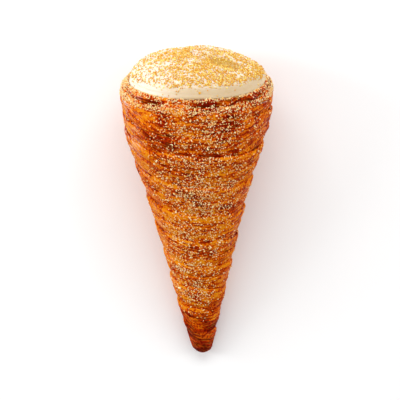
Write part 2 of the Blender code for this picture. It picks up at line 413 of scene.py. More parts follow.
def inside_outline(start, rings, gap=0.0):
    """The side of the pastry that faces the cream, from this far round the rim down to the hollow's foot."""
    rim = settings("rim")
    lip_width = rim.inner_radius - float(crest_radius(wound_top())) + rim.wall
    lip_rise = settings("horn").height - wound_top()
    lip = arc((rim.inner_radius, wound_top()), lip_width + gap, lip_rise + gap, start, math.pi, rings)
    foot = rim.hollow_start + 1.5 * MM
    steps = [(foot - wound_top()) * (ring + 1) / HOLLOW_RINGS for ring in range(HOLLOW_RINGS)]
    heights = [wound_top() + step for step in steps]
    return lip + [(float(crest_radius(height)) - rim.wall - gap, height) for height in heights]


def about_axis(points):
    """Points of the upright horn, as (angle, radius, height) about its bowed axis."""
    across = points[:, 0] - bow(points[:, 2])
    return np.arctan2(points[:, 1], across), np.hypot(across, points[:, 1]), points[:, 2]


def lying_turn():
    return np.array(Matrix.Rotation(settings("horn").rest_angle - math.pi / 2, 3, "X"))


def laid_down(points):
    """Points of the upright horn, turned to where it lies."""
    return points @ lying_turn().T + np.array(settings("horn").place)


def stood_up(points):
    """Points of the lying horn, turned back upright, as (angle, radius, height)."""
    return about_axis((points - np.array(settings("horn").place)) @ lying_turn())


# ---------------------------------------------------------------- mesh helpers


def vectors(mesh, kind="co"):
    """One row for each point of the mesh: its place, or its normal."""
    flat = np.empty(len(mesh.vertices) * 3)
    mesh.vertices.foreach_get(kind, flat)
    return flat.reshape(-1, 3)


def move_to(mesh, points):
    mesh.vertices.foreach_set("co", np.ascontiguousarray(points, dtype=np.float32).ravel())
    mesh.update()


def store(mesh, name, values):
    """Keeps one number for each point of the mesh, for its material."""
    layer = mesh.attributes.get(name) or mesh.attributes.new(name, "FLOAT", "POINT")
    layer.data.foreach_set("value", np.ascontiguousarray(values, dtype=np.float32))


def stored(mesh, name):
    """The numbers that the mesh keeps under this name."""
    values = np.empty(len(mesh.vertices))
    mesh.attributes[name].data.foreach_get("value", values)
    return values


def bumps(points, size):
    """Smooth noise from -1 to 1 over points, with lumps of about this size. size may differ by axis."""
    scaled = points / np.asarray(size)
    return np.fromiter((noise.noise(Vector(point)) for point in scaled), float, len(scaled))


def bumps_along(along, across, number, size):
    """Smooth noise from -1 to 1 over the strip. Each number gives its own."""
    return bumps(np.stack(np.broadcast_arrays(along, across, float(number)), axis=-1), size)


def primitive(operator, name, **values):
    """A new primitive under this name, alone selected."""
    bpy.ops.object.select_all(action="DESELECT")
    operator(**values)
    made = bpy.context.object
    made.name = made.data.name = name
    return made


def select_only(obj):
    bpy.ops.object.select_all(action="DESELECT")
    bpy.context.view_layer.objects.active = obj
    obj.select_set(True)


def edit(obj):
    """Opens the object alone in edit mode."""
    select_only(obj)
    bpy.ops.object.mode_set(mode="EDIT")


def finish_piece(obj, finish, node):
    """Rounds off a piece: its finish, smooth faces, what it stands for and the body it rides on."""
    obj.data.materials.append(finish)
    select_only(obj)
    bpy.ops.object.shade_smooth()
    bpy.ops.object.select_all(action="DESELECT")
    if node:
        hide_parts(node)
    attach(obj, "root")


# ---------------------------------------------------------------- crust


def strip_place(angle, turns, top):
    """Where a point lies on the strip: angle along it from its start, and share of the way across it."""
    along = angle + FULL_TURN * np.floor(top - turns - angle / FULL_TURN + 1e-6)
    across = np.clip(top - turns - along / FULL_TURN, 0.0, 1.0)
    return along, across


def former_top():
    """Turns at the start of the strip: a whole number of turns above the lip that crosses the shown side."""
    lip = float(turns_below(settings("strip").lip_height))
    return lip + math.ceil(float(turns_below(settings("horn").height)) - lip) + 1 + FRONT


def layer_slant(angle, height):
    """How much higher than level a fine layer of the strip lies: lowest on the shown side, highest below."""
    return math.tan(settings("strip").slant) * crest_radius(height) * np.sin(angle)


def wind_on_former():
    """A flat grid for the strip of dough, wound on a straight former, closed and cut level at both ends."""
    strip = settings("strip")
    radius = settings("horn").mouth_radius
    pitch = strip.mouth_pitch
    top = former_top()
    turns = math.ceil(top - float(turns_below(round_end()))) + 1
    faces = {"x_subdivisions": strip.segments * turns, "y_subdivisions": strip.rows}
    crust = primitive(bpy.ops.mesh.primitive_grid_add, "flaky_crust", size=1, **faces)

    # Rows of points lie closer together at the lips and half-way between them.
    flat = vectors(crust.data) + 0.5
    along = FULL_TURN * turns * flat[:, 0]
    across = flat[:, 1] - 0.6 * np.sin(4 * np.pi * flat[:, 1]) / (4 * np.pi)
    wound = (radius * np.cos(along), radius * np.sin(along), (top - along / FULL_TURN - across) * pitch)
    move_to(crust.data, np.stack(wound, axis=-1))

    edit(crust)
    bpy.ops.mesh.select_all(action="SELECT")
    bpy.ops.mesh.remove_doubles(threshold=MERGE)
    for height, side in ((wound_top(), 1), (round_end(), -1)):
        bpy.ops.mesh.select_all(action="SELECT")
        level = float(turns_below(height)) * pitch
        bpy.ops.mesh.bisect(plane_co=(0, 0, level), plane_no=(0, 0, side), clear_outer=True, threshold=MERGE)
    bpy.ops.object.mode_set(mode="OBJECT")
    return crust


def draw_onto_cone(crust):
    """Moves the wound strip from its former onto the cone and gives it its lips and fine layers."""
    strip = settings("strip")
    former = vectors(crust.data)
    angle = np.mod(np.arctan2(former[:, 1], former[:, 0]), FULL_TURN)
    turns = former[:, 2] / strip.mouth_pitch
    along, across = strip_place(angle, turns, former_top())
    height = height_of(turns)
    strength = relief(height)
    inner = ramp(across / 0.08) * ramp((1 - across) / 0.08)

    def turn_profile(shift):
        return np.interp(np.mod(across + shift, 1.0), TURN_SHARES, TURN_DEPTHS)

    # Lips and steps: crisp in places, and blurred where the layers baked together.
    crisp = ramp(0.45 + 1.3 * bumps_along(along, 2.0 * np.round(across), *CRISP))
    soft = sum(turn_profile(shift) for shift in (-0.08, -0.05, -0.02, 0.02, 0.05)) / 5
    main = (soft + (turn_profile(0.0) - soft) * (0.25 + 0.75 * crisp)) * strip.lip_step
    main *= 1 + strip.uneven_step * stray(angle + 2.0, turns / 3)
    main += strip.out_of_round * stray(angle + 1.0, turns / 2)

    # Fine layers: each rises towards its own edge and shows only in places.
    drift = bumps_along(along, 2.5 * across, *DRIFT)
    place = strip.layers * (across + layer_slant(angle, height) / pitch_at(height)) + 1.5 * drift
    layer = np.floor(place)
    rise = place - layer
    shown = ramp(0.5 + 1.6 * bumps_along(along, 3.7 * layer, *SHOWN))
    fine = strip.layer_step * shown * rise**1.5 * inner

    # The lip's ragged edge, curled up here and there.
    ragged = bumps_along(along, 0.0, *RAGGED)
    ragged += 0.7 * bumps_along(along, 0.0, *FRAYED)
    edge = np.interp(across, (0.0, 0.03, 0.07, 0.14, 1.0), (0.0, 0.8, 1.0, 0.0, 0.0))
    lifted = np.maximum(bumps_along(along, 0.0, *LIFTED), 0)
    main -= 0.5 * strip.lip_step * edge * lifted

    radius = crest_radius(height) - strength * (main + fine)
    lift = strip.lip_lift * edge * (0.7 + 0.6 * ragged)
    moved = height + strength * (strip.wobble * stray(angle, turns) + lift)
    move_to(crust.data, horn_points(angle, radius, moved))

    # Kept for the finish: the creases under the lips, half-way and between fine layers, darkened partly as
    # baked crust and partly as painted shade, and the lips' edges, lightened as a painted highlight.
    crease = np.interp(across, (0.0, 0.025, 0.05, 0.9, 0.97, 1.0), (1.0, 0.8, 0.0, 0.0, 0.7, 1.0))
    second = np.interp(across, (0.42, 0.455, 0.475, 0.49), (0.0, 0.8, 0.7, 0.0))
    layers = 0.65 * shown * ramp((rise - 0.7) / 0.3) * inner
    broken = 0.4 + 0.6 * crisp
    creases = np.maximum(np.maximum(crease, second) * broken, layers)
    store(crust.data, "crease", strength**0.5 * creases)
    # The lips' edges are made lighter as a painted highlight.
    store(crust.data, "edge", strength**0.5 * edge * broken)
    return along, across


def pitch_at(height):
    return settings("strip").tip_pitch + pitch_growth() * height


def corners_of(mesh):
    """For each corner of the mesh: its vertex, its face and its face's first corner."""
    corner = np.empty(len(mesh.loops), dtype=np.int64)
    mesh.loops.foreach_get("vertex_index", corner)
    starts = np.empty(len(mesh.polygons), dtype=np.int64)
    mesh.polygons.foreach_get("loop_start", starts)
    totals = np.empty(len(mesh.polygons), dtype=np.int64)
    mesh.polygons.foreach_get("loop_total", totals)
    face = np.repeat(np.arange(len(totals)), totals)
    return corner, face, starts[face]


def unwrapped(angle, first):
    """Angles of corners, without a jump of a full turn inside a face."""
    return angle + FULL_TURN * np.round((angle[first] - angle) / FULL_TURN)


def write_strip_map(mesh, along, across):
    """UV map of the wound wall in centimetres: along the strip, and across it from lip to lip."""
    corner, face, first = corners_of(mesh)
    angle = unwrapped(np.mod(along, FULL_TURN)[corner], first)
    turns = (along / FULL_TURN + across)[corner]
    corners_in_face = np.bincount(face)
    middle = np.bincount(face, turns - angle / FULL_TURN) / corners_in_face
    down = turns - angle / FULL_TURN - np.floor(middle)[face]
    along = angle + FULL_TURN * np.floor(middle)[face]

    steps = np.linspace(along.min(), along.max(), MAP_STEPS)
    heights = height_of(np.maximum(former_top() - steps / FULL_TURN - 0.5, 0.0))
    lengths = np.concatenate(([0.0], np.cumsum(crest_radius(heights[1:]) * np.diff(steps))))
    height = height_of(former_top() - turns)
    down = down * pitch_at(height) + layer_slant(angle, height)
    table = np.stack((np.interp(along, steps, lengths), down), axis=-1) * CENTIMETRES
    mesh.uv_layers[0].name = "strip"
    mesh.uv_layers[0].data.foreach_set("uv", table.astype(np.float32).ravel())


def map_ends(mesh, walls):
    """Carries the UV map on over the rim, the hollow and the tip: round the horn, and along the outline."""
    corner, face, first = corners_of(mesh)
    angle, radius, height = about_axis(vectors(mesh))
    angle = unwrapped(np.mod(angle - np.pi / 2, FULL_TURN)[corner], first)
    tip_reach = 0.6 * settings("horn").tip_radius
    reach = np.where(height > wound_top() / 2, settings("rim").inner_radius, tip_reach)
    table = np.empty(len(corner) * 2, dtype=np.float32)
    mesh.uv_layers[0].data.foreach_get("uv", table)
    table = table.reshape(-1, 2)
    ends = face >= walls
    table[ends, 0] = (angle * reach[corner])[ends] * CENTIMETRES
    table[ends, 1] = (radius + height)[corner][ends] * CENTIMETRES
    mesh.uv_layers[0].data.foreach_set("uv", table.ravel())


def extrude_rings(crust, low, high, outline, close_height):
    """Extrudes the open loop between two heights through rings of (radius, height), and closes the last."""
    edit(crust)
    bpy.ops.mesh.select_mode(type="EDGE")
    bpy.ops.mesh.select_all(action="DESELECT")
    body = bmesh.from_edit_mesh(crust.data)
    for line in body.edges:
        if line.is_boundary and all(low < vert.co.z < high for vert in line.verts):
            line.select_set(True)
    if not any(line.select for line in body.edges):
        raise RuntimeError(f"no open loop between {low} and {high}")
    for radius, height in outline:
        bpy.ops.mesh.extrude_edges_move()
        body = bmesh.from_edit_mesh(crust.data)
        for vert in body.verts:
            if vert.select:
                turn = math.atan2(vert.co.y, vert.co.x - float(bow(vert.co.z)))
                vert.co = horn_points(turn, radius, height)
    bpy.ops.mesh.extrude_edges_move()
    body = bmesh.from_edit_mesh(crust.data)
    last = [vert for vert in body.verts if vert.select]
    bmesh.ops.pointmerge(body, verts=last, merge_co=Vector(horn_points(0.0, 0.0, close_height)))
    bmesh.update_edit_mesh(crust.data)
    bpy.ops.object.mode_set(mode="OBJECT")


def add_rim_and_tip(crust):
    """Extrudes the rim, the hollow and the round tip from the wound wall's open ends."""
    horn = settings("horn")
    rim = settings("rim")
    outer, inner = rim_outline()
    outline = outer + inner + inside_outline(math.pi / 2, rim.rings)
    extrude_rings(crust, wound_top() - 10 * MERGE, horn.height, outline, rim.hollow_start)

    end = math.acos(1 - round_end() / horn.tip_radius) - math.pi / 2
    tip = arc((0.0, horn.tip_radius), horn.tip_radius, horn.tip_radius, end, -math.pi / 2, TIP_RINGS)
    extrude_rings(crust, 0.0, round_end() + 10 * MERGE, tip[:-1], 0.0)


def fill_groove(points, angle, groove):
    """Raises the groove where the rim's layers baked together, and gives how full it is, from 0 to 1."""
    ring = np.stack((np.cos(angle), np.sin(angle), 0 * angle), axis=-1)
    filled = np.maximum(0.8 * ramp(0.2 + 0.7 * np.sin(angle) + 2.5 * bumps(ring, 0.5)), sides_of_rim(angle))
    points[:, 2] += settings("rim").fill * filled * groove
    return filled


def roughen(crust):
    """Blisters and crumples all over the crust, and how much each place is creased, baked and glazed, with
    painted shade in the creases and painted sheen on the glaze lines.
    """
    strip = settings("strip")
    horn = settings("horn")
    mesh = crust.data
    points = vectors(mesh)
    across = points[:, 0] - bow(points[:, 2])
    angle, radius, height = about_axis(points)  # height is a part of points, so it follows when they rise
    above = ramp((height - wound_top()) / (2 * MM))
    hidden = (radius < crest_radius(height) - 2.6 * MM) & (height < horn.height - 1.5 * MM)
    groove = in_groove(radius, height)
    filled = fill_groove(points, angle, groove)
    # The groove's dark line where it is filled up: partly baked crust and partly painted shade.
    groove_bake_and_shade = 0.35 * groove * filled * (1 - sides_of_rim(angle))

    # Each noise is taken some way off from the others, so that their lumps don't fall together.
    broad = bumps(points, BROAD_LUMPS)
    small = bumps(points + 0.05, SMALL_LUMPS)
    crumple = bumps(points + 0.1, CRUMPLES)
    fine = bumps(points + 0.2, FINE_LUMPS)
    raised = strip.blister * (0.7 * broad + 0.5 * small + 0.3 * crumple)
    raised += FINE_RISE * fine * (0.4 + 1.2 * above)
    raised *= np.where(hidden, 0.0, 1.0) * ramp(height / (3 * MM) + 0.3)
    move_to(mesh, points + vectors(mesh, "normal") * raised[:, None])

    # Creases and the open groove darken the crust, partly as baked crust and partly as painted shade.
    crease = np.where(above > 0, 0.0, stored(mesh, "crease"))
    crease *= 0.6 + 0.4 * ramp(0.6 + 2.0 * bumps(points + 0.4, 9 * MM))
    groove *= (1 - filled) * (0.6 + 0.4 * ramp(0.5 + 2.5 * small + 1.5 * crumple))
    store(mesh, "crease", np.maximum(crease, 0.8 * groove))
    store(mesh, "edge", np.where(above > 0, 0.0, stored(mesh, "edge")))

    # Baked most at the tip and on the shown side of the last turns; darker at the right of the rim and
    # towards the right.
    side = np.cos(angle)
    last_turns = ramp(-np.sin(angle) * 2 - 1) * ramp((height - 70 * MM) / (40 * MM))
    at_rim = (1 + side) * ramp((height - wound_top() + 8 * MM) / (9 * MM))
    bake = 0.42 + 0.06 * side + 0.12 * last_turns + 0.24 * broad - 0.12 * small
    # This adds the painted shade of the filled groove as well as bake.
    bake += 0.80 * ramp(1 - height / (31 * MM)) + 0.06 * at_rim + groove_bake_and_shade
    for *place, more in BAKED_SPOTS_AND_PAINTED_HIGHLIGHT:
        bake += more * spot(across, height, place, skew=0.25, ragged=0.6 * small) * (points[:, 1] < 0)
    store(mesh, "bake", np.clip(bake, 0.0, 1.0))

    # Lines of glaze on both sides, most at the upper left: they give the coat its gloss and the colour a
    # painted sheen.
    upper_left_gloss_and_sheen = 0.9 * ramp((height - 92 * MM) / (10 * MM)) * ramp(-side)
    glaze_and_painted_sheen = ramp((np.abs(side) - 0.66) / 0.28) * ramp(0.5 + 2.2 * bumps(points + 0.3, 7 * MM) + upper_left_gloss_and_sheen)
    store(mesh, "glaze_and_painted_sheen", glaze_and_painted_sheen * (1 + upper_left_gloss_and_sheen) * ramp((height - 18 * MM) / (30 * MM)))


class CREAMHORN_OT_crust(bpy.types.Operator):
    """Winds the strip of dough into the horn, with its lips, fine layers, blisters and rim"""

    bl_idname = "cream_horn.crust"
    bl_label = "Wind the crust"

    def execute(self, context):
        crust = wind_on_former()
        along, across = draw_onto_cone(crust)
        write_strip_map(crust.data, along, across)
        walls = len(crust.data.polygons)
        add_rim_and_tip(crust)
        map_ends(crust.data, walls)
        edit(crust)
        bpy.ops.mesh.select_all(action="SELECT")
        bpy.ops.mesh.normals_make_consistent(inside=False)
        bpy.ops.object.mode_set(mode="OBJECT")
        roughen(crust)

        horn = settings("horn")
        horn.place = (0, 0, 0)
        lying = laid_down(vectors(crust.data))
        low, high = lying.min(axis=0), lying.max(axis=0)
        middle = (np.array(HORN_BOX[0]) + np.array(HORN_BOX[1]) - low - high) / 2
        horn.place = (middle[0], middle[1], HORN_BOX[1][2] - high[2])
        lying += np.array(horn.place)
        lying[:, 2] = np.maximum(lying[:, 2], 0.0)
        move_to(crust.data, lying)
        finish_piece(crust, crust_material(), "pastry_horn")
        return {"FINISHED"}


# ---------------------------------------------------------------- cream


def cream_shape(slope):
    """Radius and height of the cream where the ball it starts from has this latitude."""
    cream = settings("cream")
    horn = settings("horn")
    base = horn.height + cream.dome_waist
    dome = np.clip(slope, 0, np.pi / 2)
    radius = cream.dome_radius * np.cos(dome) * (1 - cream.narrowing * ramp(1.6 * np.sin(dome)))
    height = base + (cream.dome_height - cream.dome_waist) * np.sin(dome)

    inside = np.array([(cream.dome_radius, base), *inside_outline(CREAM_MEETS, CREAM_RINGS, cream.gap)])
    steps = np.concatenate(([0], np.cumsum(np.hypot(*np.diff(inside, axis=0).T))))
    bottom = (0.0, settings("rim").hollow_start + 2 * cream.gap)
    inside = np.vstack((inside, bottom))
    steps = np.append(steps, steps[-1] + 6 * MM)
    down = np.clip(-slope / (np.pi / 2), 0, 1) ** 1.6 * steps[-1]
    below = slope < 0
    radius = np.where(below, np.interp(down, steps, inside[:, 0]), radius)
    height = np.where(below, np.interp(down, steps, inside[:, 1]), height)
    return radius, height


def crumb_patches(points):
    """How thick the crumbs lie at places on the lying cream, from 0 to 1."""
    return 0.25 + 0.75 * ramp(0.5 + 0.7 * bumps(points, 6 * MM) + 1.5 * bumps(points, 1.5 * MM))


class CREAMHORN_OT_cream(bpy.types.Operator):
    """Fills the horn with cream up to its uneven dome"""

    bl_idname = "cream_horn.cream"
    bl_label = "Fill with cream"

    def execute(self, context):
        cream = settings("cream")
        horn = settings("horn")
        faces = {"segments": cream.segments, "ring_count": 2 * cream.rings}
        filling = primitive(bpy.ops.mesh.primitive_uv_sphere_add, "cream_dome", radius=1, **faces)
        ball = vectors(filling.data)
        slope = np.arcsin(np.clip(ball[:, 2], -1, 1))
        angle = np.arctan2(ball[:, 1], ball[:, 0])
        radius, height = cream_shape(slope)
        points = horn_points(angle, radius, height)

        rise = ramp((height - horn.height) / cream.dome_height)
        points[:, 0] += cream.dome_shift * ramp((height - horn.height) / (2 * MM) + 0.5)
        points[:, 0] -= (cream.dome_lean + cream.dome_shift) * rise
        points[:, 2] -= cream.crumb_room * rise
        above = ramp((height - horn.height) / (1.5 * MM) + 0.2)
        # Broad waves, smaller lumps, and smears that run round the dome.
        lumps = cream.dome_wave * bumps(points, 13 * MM) + LUMP_RISE * bumps(points + 0.1, 5 * MM)
        smears = SMEAR_RISE * bumps(points + 0.2, (9 * MM, 9 * MM, 1.3 * MM))
        move_to(filling.data, points)
        points += vectors(filling.data, "normal") * ((lumps + smears) * above)[:, None]

        # A dent right of the middle, a ledge low on the left where the cream was wiped level, and a bead
        # pressed over the rim.
        dent = spot(points[:, 0], points[:, 1], DENT, squash=0.55, skew=0.2, full=1.3)
        points[:, 2] -= DENT_DEPTH * dent
        left = ramp((-np.cos(angle) - 0.1) / 0.5) * ramp((-np.sin(angle) + 0.3) / 0.6)
        over_rim = height - horn.height
        ledge = np.interp(over_rim, (0.8 * MM, 2.4 * MM, 3.2 * MM), (0.0, LEDGE_WIDTH, 0.0))
        bead = np.interp(over_rim, (-0.6 * MM, 0.0, 1.6 * MM), (0.0, BEAD_WIDTH, 0.0))
        out = ledge * left + bead * ramp(0.5 - 1.5 * np.sin(angle))
        points[:, 0] += out * np.cos(angle)
        points[:, 1] += out * np.sin(angle)

        # Painted shade, warmed by the pastry's bounce light, on the cream's foot in front and on the right.
        front = ramp(-np.sin(angle) + 0.45) * ramp(1 + 1.2 * np.cos(angle))
        store(filling.data, "foot", front * ramp((5.5 * MM - over_rim) / (2.5 * MM)))
        lying = laid_down(points)
        move_to(filling.data, lying)
        # Fine yellow dust lies on the dome's top; in the dent it lies thickest, partly as dust and partly as
        # painted shade.
        dust = ramp(0.45 + rise * 1.1 + 0.25 * np.cos(angle)) * crumb_patches(lying)
        dent_dust_and_shade = 1.9 * dent * (0.8 + 0.2 * ramp(0.5 + 2.0 * bumps(lying + 0.1, 3 * MM)))
        store(filling.data, "dust", np.maximum(dust, dent_dust_and_shade))
        finish_piece(filling, cream_material(), "cream_filling")
        return {"FINISHED"}


# ---------------------------------------------------------------- sugar grains and crumbs


def scatter(piece, amount, weigh, numbers):
    """Random places on a piece, and which way they face, as dense as weigh says at each face's middle."""
    mesh = piece.data
    mesh.calc_loop_triangles()
    corners = np.empty(len(mesh.loop_triangles) * 3, dtype=np.int64)
    mesh.loop_triangles.foreach_get("vertices", corners)
    points = vectors(mesh)[corners.reshape(-1, 3)]
    # Making the mesh leaves its faces in an order that differs from run to run, so they are sorted by place.
    points = points[np.lexsort(points.mean(axis=1).T)]
    cross = np.cross(points[:, 1] - points[:, 0], points[:, 2] - points[:, 0])
    area = np.linalg.norm(cross, axis=1)
    facing = cross / np.maximum(area, 1e-12)[:, None]
    weight = area * weigh(points.mean(axis=1))
    picked = numbers.choice(len(area), amount, p=weight / weight.sum())
    mix = np.sort(numbers.random((amount, 2)), axis=1)
    parts = np.stack((mix[:, 0], mix[:, 1] - mix[:, 0], 1 - mix[:, 1]), axis=1)
    return np.einsum("ij,ijk->ik", parts, points[picked]), facing[picked]


def random_turns(amount, numbers):
    """Rotation matrices that turn things any way."""
    q = numbers.normal(size=(amount, 4))
    w, x, y, z = (q / np.linalg.norm(q, axis=1)[:, None]).T
    rows = (
        (1 - 2 * (y * y + z * z), 2 * (x * y - w * z), 2 * (x * z + w * y)),
        (2 * (x * y + w * z), 1 - 2 * (x * x + z * z), 2 * (y * z - w * x)),
        (2 * (x * z - w * y), 2 * (y * z + w * x), 1 - 2 * (x * x + y * y)),
    )
    return np.array(rows).transpose(2, 0, 1)


def strew(name, places, facing, size, shape, stand, numbers):
    """One joined piece of small uneven grains, all copied from one cube and none like another."""
    grain = primitive(bpy.ops.mesh.primitive_cube_add, "grain", size=1)
    model = vectors(grain.data)
    faces = np.array([tuple(face.vertices) for face in grain.data.polygons])
    bpy.data.objects.remove(grain)

    amount = len(places)
    shapes = model[None] * (1 + CORNER_STRAY * numbers.uniform(-1, 1, (amount, len(model), 3)))
    shapes *= np.array(shape) * numbers.uniform(*SIDE_SPREAD, (amount, 1, 3))
    sizes = size * np.exp(SIZE_SPREAD * numbers.normal(size=(amount, 1, 1)))
    turned = np.einsum("nij,nvj->nvi", random_turns(amount, numbers), shapes * sizes)
    points = (places + facing * sizes[:, 0] * stand)[:, None] + turned
    points[..., 2] = np.maximum(points[..., 2], 0.0)
    table = faces[None] + len(model) * np.arange(amount)[:, None, None]

    mesh = bpy.data.meshes.new(name)
    mesh.from_pydata(points.reshape(-1, 3), [], table.reshape(-1, 4))
    store(mesh, "tone", np.repeat(numbers.random(amount), len(model)))
    piece = bpy.data.objects.new(name, mesh)
    bpy.context.scene.collection.objects.link(piece)
    return piece


def sugar_density(points):
    """How thick the sugar lies at places on the lying crust: along the shown side, and all round the rim."""
    angle, radius, height = stood_up(points)
    below_crest = crest_radius(height) - radius
    # Along the middle of the shown side, from a little left near the tip to a little right near the mouth:
    # in patches, none on the tip, and fewer on the last turn and deep in creases.
    aside = math.radians(8) * np.clip((height - 80 * MM) / (30 * MM), -1.2, 1.0)
    front = np.cos(angle + np.pi / 2 - aside)
    sprinkled = 0.09 + 0.91 * ramp((front - 0.54) / 0.46)
    tip = ramp((height - 16 * MM) / (18 * MM))
    patches = 0.45 + 0.55 * ramp(0.5 + 1.5 * bumps(points, (12 * MM, 9 * MM, 9 * MM)))
    sprinkled *= 1 - 0.3 * ramp((height - 99 * MM) / (7 * MM))
    sprinkled *= 1 - 0.85 * ramp((below_crest - 0.8 * MM) / (0.5 * MM))

    # Thicker all round the rim, with fewer in its groove and on its inner side.
    rim = ramp((height - wound_top() - 1.2 * MM) / (1.5 * MM))
    groove_radius = rim_outline()[0][-1][0]
    inner = ramp((settings("horn").height - 0.7 * MM - height) / (0.6 * MM)) * (radius < groove_radius)
    rim *= 1 - 0.75 * in_groove(radius, height) * (1 - sides_of_rim(angle))
    rim *= (1 - 0.75 * inner) * (1 - 0.2 * ramp(np.cos(angle) * 2 - 0.9))
    outside = radius > crest_radius(height) - 4.0 * MM
    return np.where(outside, sprinkled * tip * patches * (1 - rim) + rim * (2.0 + 1.0 * sprinkled), 0.0)


def crumb_density(points):
    """How thick the crumbs lie at places on the lying cream: least at the dome's front, left and back."""
    angle, radius, height = stood_up(points)
    rise = (height - settings("horn").height) / settings("cream").dome_height
    front = ramp(-np.sin(angle))
    left = ramp(-np.cos(angle))
    strewn = ramp((rise - 0.06 - 0.18 * front) / 0.18)
    across, back = radius * np.cos(angle), radius * np.sin(angle)
    bare = 0.8 * spot(across, back, BARE_SPOT)
    sparse = 0.72 * left * ramp(radius / (26 * MM))
    behind = 0.9 * ramp((back + 4 * MM) / (14 * MM))
    heap = 1 + 0.8 * spot(across, back, CRUMB_HEAP)
    thick = strewn * (1 - sparse) * (1 - bare) * (1 - behind) * heap + 0.02
    return thick * crumb_patches(points) * (rise > 0.03)


class CREAMHORN_OT_grains(bpy.types.Operator):
    """Sprinkles sugar grains over the shown side of the crust and round the rim"""

    bl_idname = "cream_horn.grains"
    bl_label = "Sprinkle the sugar"

    def execute(self, context):
        topping = settings("topping")
        numbers = np.random.default_rng(topping.seed)
        crust = bpy.data.objects["flaky_crust"]
        places, facing = scatter(crust, topping.grains, sugar_density, numbers)
        size = topping.grain_size
        grains = strew("sugar_grains", places, facing, size, GRAIN_SHAPE, GRAIN_STAND, numbers)
        finish_piece(grains, grain_material(), None)
        return {"FINISHED"}


class CREAMHORN_OT_crumbs(bpy.types.Operator):
    """Strews golden crumbs over the dome of cream"""

    bl_idname = "cream_horn.crumbs"
    bl_label = "Strew the crumbs"

    def execute(self, context):
        topping = settings("topping")
        numbers = np.random.default_rng(topping.seed + 1)
        filling = bpy.data.objects["cream_dome"]
        places, facing = scatter(filling, topping.crumbs, crumb_density, numbers)
        size = topping.crumb_size
        crumbs = strew("yellow_crumbs", places, facing, size, CRUMB_SHAPE, CRUMB_STAND, numbers)
        finish_piece(crumbs, crumb_material(), None)
        return {"FINISHED"}


# ---------------------------------------------------------------- materials


def feed(tree, socket, value):
    """Links an input to another node's output, or sets it to a plain number, vector or colour."""
    if isinstance(value, bpy.types.NodeSocket):
        tree.links.new(value, socket)
    elif socket.type == "RGBA":
        socket.default_value = (*value, 1.0)
    else:
        socket.default_value = value


def feed_in_order(tree, sockets, *values):
    """Feeds inputs one after another."""
    for socket, value in zip(sockets, values):
        feed(tree, socket, value)


def feed_named(tree, node, **values):
    """Feeds a node's inputs by name."""
    for key, value in values.items():
        feed(tree, node.inputs[key.replace("_", " ")], value)


def add(tree, kind, label="", **values):
    """A node of this kind, with its properties and its inputs set by name."""
    made = tree.nodes.new(kind)
    made.label = label
    for key, value in values.items():
        if hasattr(made, key):
            setattr(made, key, value)
        else:
            feed_named(tree, made, **{key: value})
    return made


def maths(tree, operation, *values):
    """Result of a Math node."""
    made = add(tree, "ShaderNodeMath", operation=operation)
    feed_in_order(tree, made.inputs, *values)
    return made.outputs[0]


def mixed(tree, factor, one, other):
    """Colour between two colours."""
    made = add(tree, "ShaderNodeMix", data_type="RGBA")
    feed_in_order(tree, [socket for socket in made.inputs if socket.enabled], factor, one, other)
    return made.outputs[2]


def ranged(tree, value, low, high):
    """Where the value lies between low and high, smoothly from 0 to 1."""
    made = add(tree, "ShaderNodeMapRange", interpolation_type="SMOOTHSTEP")
    feed_in_order(tree, made.inputs, value, low, high)
    return made.outputs[0]


def attribute(tree, name):
    return add(tree, "ShaderNodeAttribute", name, attribute_name=name).outputs["Fac"]


def own_place(tree):
    """Places on the piece itself."""
    return add(tree, "ShaderNodeTexCoord", "place").outputs["Object"]


def clouds(tree, label, **values):
    """Values of a noise texture."""
    return add(tree, "ShaderNodeTexNoise", label, **values).outputs[0]


def bump(tree, height, strength, distance):
    made = add(tree, "ShaderNodeBump", "relief", Height=height, Strength=strength, Distance=distance)
    return made.outputs[0]


def group(name, numbers, results):
    """New node group for a vector and these numbers: its tree, what it is given, and its results' inputs."""
    tree = bpy.data.node_groups.new(name, "ShaderNodeTree")
    tree.interface.new_socket("Vector", in_out="INPUT", socket_type="NodeSocketVector")
    for title in numbers:
        tree.interface.new_socket(title, in_out="INPUT", socket_type="NodeSocketFloat")
    for title in results:
        tree.interface.new_socket(title, in_out="OUTPUT", socket_type="NodeSocketFloat")
    return tree, tree.nodes.new("NodeGroupInput").outputs, tree.nodes.new("NodeGroupOutput").inputs


def placed_group(tree, effect, **values):
    """Outputs of a node group placed in a material with its own values."""
    made = add(tree, "ShaderNodeGroup", effect.name, node_tree=effect)
    feed_named(tree, made, **values)
    return made.outputs


def mottle_group():
    """Uneven spots and specks, for any finish: a mask of broad spots, one of specks, and a fine height."""
    known = bpy.data.node_groups.get("Mottle")
    if known:
        return known
    tree, given, results = group("Mottle", ("Spot Scale", "Speck Scale"), ("Spots", "Specks", "Height"))
    spots = clouds(tree, "spots", Vector=given[0], Scale=given[1], Detail=3.0)
    specks = clouds(tree, "specks", Vector=given[0], Scale=given[2], Detail=4.0)
    masks = ranged(tree, spots, 0.35, 0.65), ranged(tree, specks, 0.42, 0.62)
    feed_in_order(tree, results, *masks, maths(tree, "ADD", spots, specks))
    return tree


